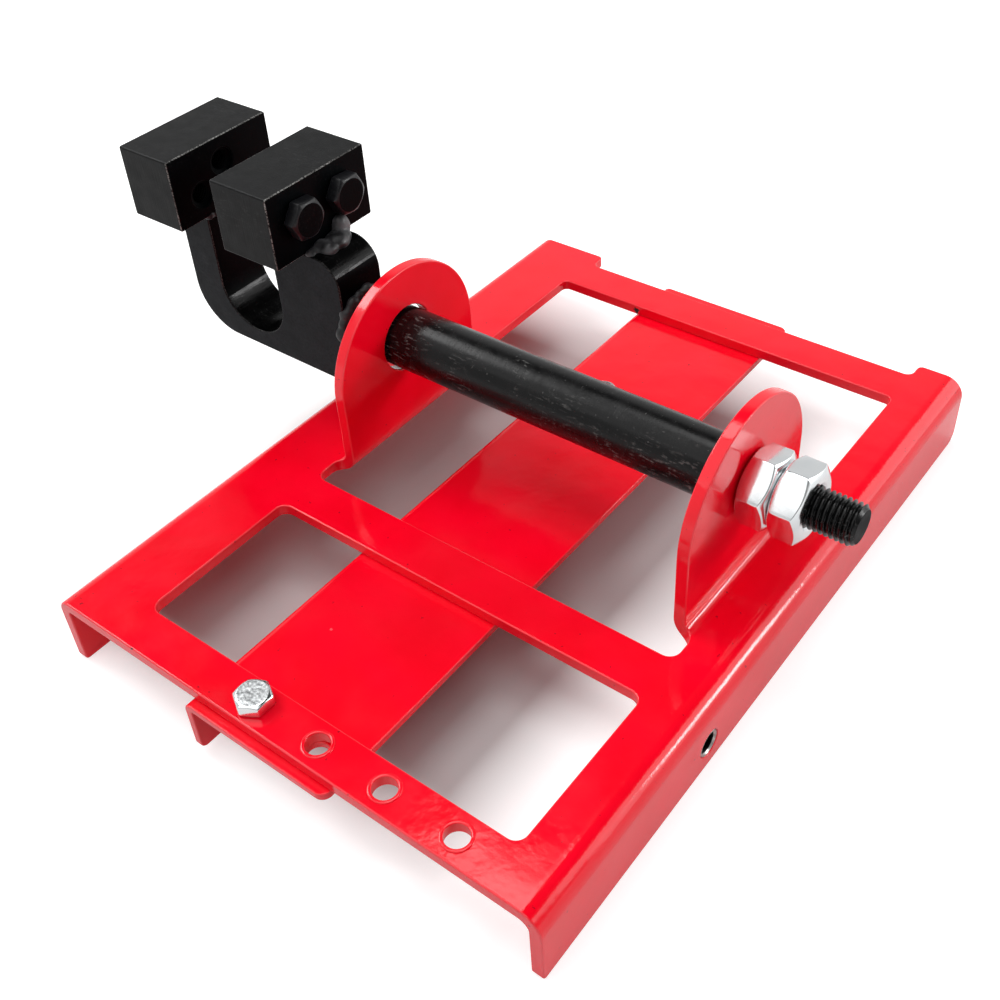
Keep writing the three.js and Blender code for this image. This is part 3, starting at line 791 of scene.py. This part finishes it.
def swivel_shaft():
    """The shaft along X. Its thread is cut from the middle of the outer nut on."""
    columns = round_columns()
    chamfer = SHAFT_CHAMFER
    thread_start = OUTER_NUT_START + JAM_NUT_HEIGHT / 2
    plain = [
        (SHAFT_RADIUS - chamfer, SHAFT_START), (SHAFT_RADIUS, SHAFT_START + chamfer),
        (SHAFT_RADIUS, SHAFT_SHOULDER - chamfer), (SHAFT_RADIUS - chamfer, SHAFT_SHOULDER),
        (THREAD_RADIUS, SHAFT_SHOULDER), (THREAD_RADIUS, thread_start - HEX_EDGE),
    ]
    rings = [ring(columns, radius, along) for radius, along in plain]
    rings += thread_rings(columns, THREAD_RADIUS, THREAD_PITCH, thread_start, THREAD_END - HEX_EDGE,
                          THREAD_END, THREAD_CHAMFER)
    rings.append(ring(columns, THREAD_RADIUS - THREAD_CHAMFER, THREAD_END))
    return placed(mark_top(skin(rings)), Z_TO_X, 0, 0, 0)


def yoke():
    """The yoke, standing across the part. Its rim takes the second material, and what looks left or
    right on that rim, the slot's flat walls among it, the third, a black that paints their shade."""
    shape = outline([
        (YOKE_LEFT, YOKE_TOP, YOKE_EDGE), (YOKE_LEFT, YOKE_BOTTOM, YOKE_HEEL_RADIUS),
        (YOKE_RIGHT, YOKE_BOTTOM, YOKE_SHOULDER_RADIUS),
        (YOKE_RIGHT, YOKE_TOP, YOKE_SHOULDER_RADIUS), (SLOT_RIGHT, YOKE_TOP, YOKE_EDGE),
        (SLOT_RIGHT, SLOT_BOTTOM, SLOT_HALF_WIDTH), (SLOT_LEFT, SLOT_BOTTOM, SLOT_HALF_WIDTH),
        (SLOT_LEFT, YOKE_TOP, YOKE_EDGE),
    ])
    bm = mark_rim(plate([shape], YOKE_THICKNESS, YOKE_EDGE))
    for face in bm.faces:
        if abs(face.normal.x) > SQUARE:
            face.material_index = THIRD
    return placed(bm, TOP_TO_FRONT, 0, -YOKE_THICKNESS / 2, 0)


def jaw(left, right, holes, radius):
    """A block with holes across it. Its faces that look left and right take the first material, a black
    that paints their shade, and round a hole's mouth it takes that material too, unworn.
    """
    half = JAW_LENGTH / 2
    block = rectangle(-half, JAW_BOTTOM, half, JAW_TOP, JAW_CORNER_RADIUS)
    bm = mark_rim(plate([block, *[circle(*hole, radius) for hole in holes]], right - left, JAW_EDGE))
    worn = bm.verts.layers.float["edge"]
    for face in bm.faces:
        middle = face.calc_center_median().xy
        if min((middle - Vector(hole)).length for hole in holes) < radius + JAW_EDGE:
            face.material_index = MAIN
            for vert in face.verts:
                vert[worn] = 0
    return placed(bm, Z_TO_X, right, 0, 0)


def left_jaw():
    holes = [(y, JAW_BOTTOM + up) for y, up in TAPPED_HOLES]
    bm = jaw(*LEFT_JAW, holes, TAPPED_MOUTH_RADIUS)
    for hole in holes:
        # Each lining keeps the first material, the black that paints the shade in the hole.
        join(bm, tapped_lining(*hole))
    return bm


def tapped_lining(y, z):
    """The wall of one tapped hole in the left jaw, with its countersunk mouths and its thread."""
    columns = round_columns()
    left, right = LEFT_JAW
    wall = TAPPED_MOUTH_RADIUS + JAW_EDGE / 2
    ends = ((wall, LINING_START), (TAPPED_MOUTH_RADIUS, LINING_START), (TAPPED_RADIUS, TAPPED_MOUTH_DEPTH))
    start = left + TAPPED_MOUTH_DEPTH
    end = right - TAPPED_MOUTH_DEPTH
    pitch = CLAMP_BOLT["pitch"]
    rows = math.ceil((end - start) / pitch * THREAD_ROWS)
    rings = [ring(columns, radius, left + depth) for radius, depth in ends]
    rings += bore_rings(columns, TAPPED_RADIUS, JAW_EDGE, pitch, start, end, rows)[1:-1]
    rings += [ring(columns, radius, right - depth) for radius, depth in reversed(ends)]
    return placed(skin(rings, looped=True), Z_TO_X, 0, y, z)


def right_jaw():
    holes = [(y, JAW_BOTTOM + CLAMP_BOLT_HEIGHT) for y in (-CLAMP_BOLT_SPREAD, CLAMP_BOLT_SPREAD)]
    return jaw(*RIGHT_JAW, holes, CLAMP_BOLT["shank"] + ROUND_GAP)


# Welds

def unevenness(place):
    fine = noise.noise(place * WELD_FINER * WELD_GRAIN)
    return noise.noise(place * WELD_GRAIN) + fine * WELD_FINE_SHARE


def weld(lumps):
    """One fused, uneven body from lumps of weld metal."""
    bm = bmesh.new()
    for place, radii in lumps:
        matrix = Matrix.Translation(place) @ Matrix.Diagonal((*radii, 1))
        bmesh.ops.create_icosphere(bm, subdivisions=LUMP_SUBDIVISIONS, radius=1, matrix=matrix)
    mesh = bpy.data.meshes.new("weld")
    bm.to_mesh(mesh)
    bm.free()
    carrier = carrier_of(mesh)
    fused = carrier.modifiers.new("fused", "REMESH")
    fused.mode = "VOXEL"
    fused.voxel_size = WELD_VOXEL
    smoothed = carrier.modifiers.new("smoothed", "SMOOTH")
    smoothed.iterations = WELD_SMOOTHING
    bm = evaluated(carrier)
    bm.normal_update()
    heights = [unevenness(vert.co) for vert in bm.verts]
    for vert, height in zip(bm.verts, heights):
        vert.co += vert.normal * height * WELD_UNEVENNESS
    return bm


def round_lump(place, radius, i):
    """A lump of about this radius, which changes from one lump of a seam to the next."""
    reach = radius * LUMP_SHARES[i % len(LUMP_SHARES)]
    return place, (reach, reach, reach)


def seam(x, z, radius):
    """Lumps of a weld along the whole thickness of the yoke, in the corner at x and z."""
    half = YOKE_THICKNESS / 2 - radius / 2
    count = math.ceil(2 * half / (radius * LUMP_SPACING_SHARE))
    return [round_lump((x, -half + 2 * half * i / count, z), radius, i) for i in range(count + 1)]


def shaft_seam():
    turns = [2 * math.pi * i / SHAFT_WELD_LUMPS for i in range(SHAFT_WELD_LUMPS)]
    places = [(YOKE_RIGHT, SHAFT_RADIUS * math.cos(a), SHAFT_RADIUS * math.sin(a)) for a in turns]
    return [round_lump(place, SHAFT_WELD_RADIUS, i) for i, place in enumerate(places)]


# Material nodes

def new_material(name):
    material = bpy.data.materials.new(name)
    material.use_nodes = True
    tree = material.node_tree
    return material, tree, tree.nodes["Principled BSDF"]


def feed(tree, socket, value):
    if isinstance(value, bpy.types.NodeSocket):
        tree.links.new(value, socket)
    else:
        socket.default_value = value


def feed_all(tree, node, inputs):
    for name, value in inputs.items():
        feed(tree, node.inputs[name], value)


def add(tree, kind, inputs, **settings):
    node = tree.nodes.new(kind)
    for name, value in settings.items():
        setattr(node, name, value)
    feed_all(tree, node, inputs)
    return node


def arithmetic(tree, operation, a, b):
    node = add(tree, "ShaderNodeMath", {}, operation=operation)
    feed(tree, node.inputs[0], a)
    feed(tree, node.inputs[1], b)
    return node.outputs["Value"]


def times(tree, a, b):
    return arithmetic(tree, "MULTIPLY", a, b)


def larger(tree, a, b):
    return arithmetic(tree, "MAXIMUM", a, b)


def vector_math(tree, operation, a, b=None):
    node = add(tree, "ShaderNodeVectorMath", {}, operation=operation)
    feed(tree, node.inputs[0], a)
    if b is not None:
        feed(tree, node.inputs[1], b)
    return node.outputs["Vector"]


def vector_length(tree, vector):
    return add(tree, "ShaderNodeVectorMath", {"Vector": vector}, operation="LENGTH").outputs["Value"]


def coordinates(tree, stretch=(1, 1, 1)):
    place = add(tree, "ShaderNodeTexCoord", {}).outputs["Object"]
    return add(tree, "ShaderNodeMapping", {"Vector": place, "Scale": stretch}).outputs["Vector"]


def clouds(tree, grain, detail, stretch=(1, 1, 1)):
    return add(tree, "ShaderNodeTexNoise", {"Vector": coordinates(tree, stretch), "Scale": grain,
                                            "Detail": detail}).outputs["Fac"]


def spread(tree, value, start, end, low=0, high=1):
    return add(tree, "ShaderNodeMapRange", {"Value": value, "From Min": start, "From Max": end,
                                            "To Min": low, "To Max": high}).outputs["Result"]


def patches(tree, look, low=0, high=1, stretch=(1, 1, 1)):
    """Clouds that go from low to high. The look says how many, how fine and between which heights."""
    grain, detail, start, end = look
    return spread(tree, clouds(tree, grain, detail, stretch), start, end, low, high)


def opaque(colour):
    return colour if isinstance(colour, bpy.types.NodeSocket) else (*colour, 1)


def mixed(tree, share, a, b):
    """Colour a where the share is 0 and colour b where it is 1."""
    node = add(tree, "ShaderNodeMix", {}, data_type="RGBA")
    feed(tree, node.inputs["Factor"], share)
    feed(tree, node.inputs[MIX_COLOUR_A], opaque(a))
    feed(tree, node.inputs[MIX_COLOUR_B], opaque(b))
    return node.outputs[MIX_COLOUR_OUT]


def darker(colour, share):
    return tuple(share * part for part in colour)


def bumped(tree, height, depth, under=None):
    """A normal raised by this height, over the normal under it. The depth is in millimetres."""
    inputs = {"Height": height, "Distance": depth * METRES}
    if under is not None:
        inputs["Normal"] = under
    return add(tree, "ShaderNodeBump", inputs).outputs["Normal"]


def relief(tree, look, under=None):
    grain, detail, depth = look
    return bumped(tree, clouds(tree, grain, detail), depth, under)


def edge_mask(tree):
    return add(tree, "ShaderNodeAttribute", {}, attribute_name="edge").outputs["Fac"]


# Placing pieces

def place_of_drawing():
    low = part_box("frame")[0]
    corner = Matrix.Translation((low.x, low.y, low.z + FLANGE_DEPTH * METRES))
    return corner @ Matrix.Scale(METRES, 4)


DRAWING = place_of_drawing()
SHAFT_LINE = DRAWING @ Matrix.Translation((0, EAR_MIDDLE, SHAFT_HEIGHT))


def show(node, bm, place, body, materials, smooth_degrees=None):
    """Turns a piece into an object that stands for one CAD node and rides on its body."""
    bm.transform(place)
    mesh = bpy.data.meshes.new(f"{node}_finished")
    bm.to_mesh(mesh)
    bm.free()
    mesh.shade_smooth()
    piece = bpy.data.objects.new(mesh.name, mesh)
    bpy.context.scene.collection.objects.link(piece)
    for material in materials:
        mesh.materials.append(material)
    if smooth_degrees is None:
        weighted = piece.modifiers.new("weighted_normals", "WEIGHTED_NORMAL")
        weighted.mode = "FACE_AREA"
        weighted.keep_sharp = True
    else:
        mesh.set_sharp_from_angle(angle=math.radians(smooth_degrees))
    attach(piece, body)
    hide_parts(node)


# Materials

def flaw(tree, place, radius):
    """1 inside a ragged spot of this radius round a place in the drawing, and 0 outside it."""
    way = vector_math(tree, "SUBTRACT", coordinates(tree), tuple(DRAWING @ Vector(place)))
    away = times(tree, vector_length(tree, way), patches(tree, FLAW_RAGS, *FLAW_RAG_SHARES))
    return spread(tree, away, radius * METRES * FLAW_CORE_SHARE, radius * METRES, 1, 0)


def red_paint():
    material, tree, shader = new_material("red_paint")
    tone = mixed(tree, patches(tree, PAINT_TONES), PAINT_DARK, PAINT_LIGHT)
    tone = mixed(tree, times(tree, patches(tree, PAINT_GRIME), GRIME_SHARE), tone, GRIME)
    # Lighter paint along the rounded edges is a painted highlight on them.
    tone = mixed(tree, times(tree, edge_mask(tree), PAINTED_EDGE_HIGHLIGHT_SHARE), tone, PAINTED_EDGE_HIGHLIGHT)
    for place, radius, colour in PAINT_FLAWS:
        tone = mixed(tree, flaw(tree, place, radius), tone, colour)
    feed_all(tree, shader, {
        "Base Color": tone,
        "Roughness": patches(tree, PAINT_SHINE, *PAINT_ROUGHNESS),
        "Normal": relief(tree, PAINT_WAVES, relief(tree, PAINT_PEEL)),
    })
    return material


def around(roughness):
    return roughness - ROUGHNESS_SWING, roughness + ROUGHNESS_SWING


def blackened(name, tint, gloss, roughness, wear, scuffs, stretch, line_depth):
    """Blackened steel. Gloss is its specular level, wear how bare its edges are, and scuffs how
    marked its faces are. Its machining lines have a stretch along each axis and a depth."""
    material, tree, shader = new_material(name)
    tone = mixed(tree, patches(tree, BLACK_TONES), darker(tint, DARK_SHARE), tint)
    scratches = patches(tree, SCRATCHES, stretch=SCRATCH_STRETCH)
    scratched = times(tree, patches(tree, SCUFFED_AREAS), scratches)
    marks = larger(tree, patches(tree, SPECKS, 0, SPECK_SHARE), scratched)
    tone = mixed(tree, times(tree, marks, scuffs), tone, SCUFF)
    chips = times(tree, patches(tree, WORN_STRETCHES, *WORN_SHARES), patches(tree, WORN_CHIPS))
    worn = times(tree, edge_mask(tree), chips)
    tone = mixed(tree, times(tree, worn, wear), tone, BARE_EDGE)
    lines = clouds(tree, *MACHINED_LINES, stretch)
    tone = mixed(tree, spread(tree, lines, *MACHINED_SPAN), darker(tint, LINE_SHARE), tone)
    feed_all(tree, shader, {
        "Base Color": tone,
        "Roughness": patches(tree, BLACK_SHINE, *around(roughness)),
        "Specular IOR Level": gloss,
        "Normal": relief(tree, BLACK_PITS, bumped(tree, lines, line_depth)),
    })
    return material


# A much darker, bluish copy of the black. It paints the shade on faces that look left or right and inside
# holes and bores, and hides the red that the frame casts and reflects onto them.
def painted_shade_black():
    return blackened("painted_shade_black", tint=(0.0007, 0.0014, 0.002), gloss=0.03, roughness=0.45,
                     wear=0.6, scuffs=0.02, stretch=(1, 2, 0.2), line_depth=0.02)


def ground_black():
    return blackened("ground_black", tint=(0.0052, 0.0055, 0.006), gloss=0.12, roughness=0.42,
                     wear=1, scuffs=0.06, stretch=(2, 2, 0.08), line_depth=0.06)


def plate_black():
    return blackened("plate_black", tint=(0.011, 0.0122, 0.0155), gloss=0.08, roughness=0.45,
                     wear=0.1, scuffs=0.02, stretch=(1, 1, 1), line_depth=0.03)


def cut_black():
    return blackened("cut_black", tint=(0.002, 0.002, 0.0022), gloss=0.14, roughness=0.2,
                     wear=0.1, scuffs=0.05, stretch=(1, 0.1, 1), line_depth=0.1)


def turned_black():
    return blackened("turned_black", tint=(0.0035, 0.0035, 0.0037), gloss=0.24, roughness=0.25,
                     wear=0.9, scuffs=0.48, stretch=(1, 0.2, 0.2), line_depth=0.03)


def head_black():
    return blackened("head_black", tint=(0.009, 0.0094, 0.0115), gloss=0.3, roughness=0.32,
                     wear=0.35, scuffs=0.05, stretch=(1, 1, 1), line_depth=0.03)


def weld_metal(name, dark, light):
    """Weld metal in patches, from the dark tone to the light one."""
    material, tree, shader = new_material(name)
    feed_all(tree, shader, {
        "Base Color": mixed(tree, patches(tree, WELD_TONES), dark, light),
        "Roughness": patches(tree, WELD_SHINE, *WELD_ROUGHNESS),
        "Specular IOR Level": WELD_GLOSS,
        "Normal": relief(tree, WELD_PITS),
    })
    return material


def black_weld():
    return weld_metal("black_weld", dark=(0.003, 0.003, 0.0035), light=(0.02, 0.02, 0.022))


def grey_weld():
    return weld_metal("grey_weld", dark=(0.012, 0.012, 0.013), light=(0.11, 0.11, 0.115))


def zinc_plate(name, dull, grain, roughness, depth):
    """Zinc plating over steel. Dull is the tone of its darker spots, grain how many of them there
    are to a metre, and depth how deep its pits are."""
    material, tree, shader = new_material(name)
    spots = patches(tree, (grain, *ZINC_SPOT_LAYERS))
    feed_all(tree, shader, {
        "Base Color": mixed(tree, spots, darker(ZINC_SPOT, dull), ZINC_LIGHT),
        "Roughness": patches(tree, ZINC_SHINE, *around(roughness)),
        "Metallic": 1,
        "Normal": relief(tree, (*ZINC_PITS, depth)),
    })
    return material


def bright_zinc():
    return zinc_plate("zinc_plate", dull=0.82, grain=120, roughness=0.17, depth=0.01)


def rough_zinc():
    return zinc_plate("rough_zinc", dull=0.24, grain=900, roughness=0.34, depth=0.1)


def bare_steel():
    material, tree, shader = new_material("bare_steel")
    feed_all(tree, shader, {
        "Base Color": mixed(tree, patches(tree, STEEL_TONES), STEEL_DARK, STEEL_LIGHT),
        "Roughness": patches(tree, STEEL_SHINE, *STEEL_ROUGHNESS),
        "Metallic": 1,
        "Normal": relief(tree, STEEL_PITS),
    })
    return material


# Studio

def seen_directly(tree):
    """1 for the rays of the camera and of glass, less for those of reflections, 0 for plain light."""
    rays = add(tree, "ShaderNodeLightPath", {}).outputs
    direct = larger(tree, rays["Is Camera Ray"], times(tree, rays["Is Glossy Ray"], REFLECTED_GLOW))
    return larger(tree, direct, rays["Is Transmission Ray"])


def beyond_painted_shade(tree):
    """How far a place on the floor lies outside the patch of painted shade under the frame, in metres."""
    out = vector_math(tree, "SUBTRACT", coordinates(tree), PAINTED_SHADE_MIDDLE)
    out = vector_math(tree, "ABSOLUTE", out)
    out = vector_math(tree, "SUBTRACT", out, PAINTED_SHADE_HALF)
    out = vector_math(tree, "MAXIMUM", out, (0, 0, 0))
    return vector_length(tree, out)


def pale_floor():
    material, tree, shader = new_material("floor")
    away = beyond_painted_shade(tree)
    # The glow is 0 on the patch under the frame, which paints its shade, and rises at the patch's rim,
    # which paints light on the floor seen through the windows.
    glow = arithmetic(tree, "ADD", spread(tree, away, *RIM_GLOW), spread(tree, away, *FAR_GLOW))
    feed_all(tree, shader, {
        "Base Color": opaque(FLOOR_GREY),
        "Roughness": FLOOR_ROUGHNESS,
        "Specular IOR Level": 0,
        "Emission Color": opaque(WHITE),
        "Emission Strength": times(tree, seen_directly(tree), glow),
    })
    return material


def floor():
    mesh = bpy.data.meshes.new("floor")
    sides = ((-1, -1), (1, -1), (1, 1), (-1, 1))
    mesh.from_pydata([(FLOOR_REACH * x, FLOOR_REACH * y, 0) for x, y in sides], [], [(0, 1, 2, 3)])
    ground = bpy.data.objects.new("floor", mesh)
    bpy.context.scene.collection.objects.link(ground)
    mesh.materials.append(pale_floor())


def world():
    studio = bpy.data.worlds.new("studio")
    bpy.context.scene.world = studio
    studio.use_nodes = True
    tree = studio.node_tree
    tree.nodes.clear()
    way = add(tree, "ShaderNodeTexCoord", {}).outputs["Generated"]
    way = add(tree, "ShaderNodeSeparateXYZ", {"Vector": way}).outputs
    room = times(tree, spread(tree, way["Z"], *ROOM_BY_HEIGHT), spread(tree, way["X"], *ROOM_BY_RIGHT))
    level = larger(tree, room, spread(tree, way["Z"], *HORIZON_BY_HEIGHT))
    rays = add(tree, "ShaderNodeLightPath", {}).outputs
    level = larger(tree, level, rays["Is Camera Ray"])
    sky = add(tree, "ShaderNodeBackground", {"Color": opaque(WHITE), "Strength": level})
    end = add(tree, "ShaderNodeOutputWorld", {})
    tree.links.new(sky.outputs["Background"], end.inputs["Surface"])


def softbox(name, place, target, size, power):
    data = bpy.data.lights.new(name, "AREA")
    data.shape = "RECTANGLE"
    data.size, data.size_y = size
    data.energy = power
    lamp = bpy.data.objects.new(name, data)
    bpy.context.scene.collection.objects.link(lamp)
    lamp.location = place
    way = Vector(target) - Vector(place)
    lamp.rotation_euler = way.to_track_quat("-Z", "Y").to_euler()


def camera():
    data = bpy.data.cameras.new("camera")
    data.lens = CAMERA_LENS
    data.shift_x, data.shift_y = CAMERA_SHIFT
    data.clip_start, data.clip_end = CAMERA_RANGE
    eye = bpy.data.objects.new("camera", data)
    bpy.context.scene.collection.objects.link(eye)
    eye.location = CAMERA_PLACE
    eye.rotation_euler = Euler([math.radians(a) for a in CAMERA_TURN])
    bpy.context.scene.camera = eye


# The whole mill

def guide_fastener(place, seat, y, materials):
    """A bolt with its head's seat at this height, and the washer and nut under the guide plate."""
    washer_top = -SHEET - FACE_GAP - GUIDE_SHEET - FACE_GAP
    nut_top = washer_top - WASHER["thickness"] - FACE_GAP
    nut_bottom = nut_top - GUIDE_NUT_HEIGHT
    bolt = hex_bolt(GUIDE_BOLT, seat - nut_bottom + GUIDE_BOLT_STICK_OUT, GUIDE_BOLT_CORNER)
    nut = hex_nut(GUIDE_BOLT["across_flats"], GUIDE_NUT_HEIGHT, GUIDE_NUT_BORE, GUIDE_NUT_CORNER)
    parts = {
        f"guide_bolt_{place}": moved(bolt, GUIDE_HOLE_X, y, seat),
        f"guide_washer_{place}": moved(washer(), GUIDE_HOLE_X, y, washer_top - WASHER["thickness"]),
        f"guide_nut_{place}": moved(nut, GUIDE_HOLE_X, y, nut_bottom),
    }
    for node, bm in parts.items():
        show(node, bm, DRAWING, "carriage", materials, FASTENER_SMOOTH)


def carriage(zinc, dark):
    paint = [red_paint()]
    bolt_zinc = [zinc, rough_zinc()]
    show("frame", frame_sheet(), DRAWING, "carriage", paint)
    show("guide_plate", guide_angle(), DRAWING, "carriage", paint)
    # The bush's bore takes the darkest black, which paints the shade inside it.
    show("side_thread_bush", bush(), DRAWING, "carriage", [bare_steel(), dark],
         FASTENER_SMOOTH)
    guide_fastener("front", FACE_GAP, GUIDE_HOLE_Y, bolt_zinc)
    guide_fastener("rear", -SHEET, REAR_BOLT_Y, bolt_zinc)


def swivel(zinc, dark):
    jaw_black = [dark, ground_black()]
    # The darkest black paints shade on the shaft's faces that look right, on the jaws' faces that look
    # left and right and in their holes, and on the yoke's flat faces that look left or right.
    show("swivel_shaft", swivel_shaft(), SHAFT_LINE, "swivel", [turned_black(), dark],
         SHAFT_SMOOTH)
    for place, start in (("inner", INNER_NUT_START), ("outer", OUTER_NUT_START)):
        show(f"jam_nut_{place}", jam_nut(start), SHAFT_LINE, "swivel", [zinc],
             FASTENER_SMOOTH)
    show("clamp_yoke", yoke(), SHAFT_LINE, "swivel", [plate_black(), cut_black(), dark])
    show("jaw_left", left_jaw(), SHAFT_LINE, "swivel", jaw_black)
    show("jaw_right", right_jaw(), SHAFT_LINE, "swivel", jaw_black)


def clamp_bolts(dark):
    bolt_black = [head_black(), dark]
    for place, y in (("front", -CLAMP_BOLT_SPREAD), ("rear", CLAMP_BOLT_SPREAD)):
        # The end face of each head looks right and takes the darkest black, which paints its shade.
        show(f"clamp_bolt_{place}", clamp_bolt(y), SHAFT_LINE, f"{place}_bolt",
             bolt_black, FASTENER_SMOOTH)


def welds():
    black, grey = black_weld(), grey_weld()
    seams = {
        "weld_shaft": (shaft_seam(), black),
        "weld_jaw_left_outer": (seam(YOKE_LEFT, YOKE_TOP, HIDDEN_WELD_RADIUS), black),
        "weld_jaw_left_inner": (seam(SLOT_LEFT, YOKE_TOP, SLOT_WELD_RADIUS), black),
        "weld_jaw_right_inner": (seam(SLOT_RIGHT, YOKE_TOP, HIDDEN_WELD_RADIUS), black),
        "weld_jaw_right_outer": (SHOULDER_LUMPS, grey),
    }
    for node, (lumps, metal) in seams.items():
        show(node, weld(lumps), SHAFT_LINE, "swivel", [metal], WELD_SMOOTH)


def mill():
    zinc = bright_zinc()
    # The darkest black paints shade on faces that look left or right and inside holes and bores.
    dark = painted_shade_black()
    carriage(zinc, dark)
    swivel(zinc, dark)
    clamp_bolts(dark)
    welds()


camera()
world()
for lamp_name, box in SOFTBOXES.items():
    softbox(lamp_name, **box)
floor()
mill()
bpy.context.scene.view_settings.view_transform = "Standard"
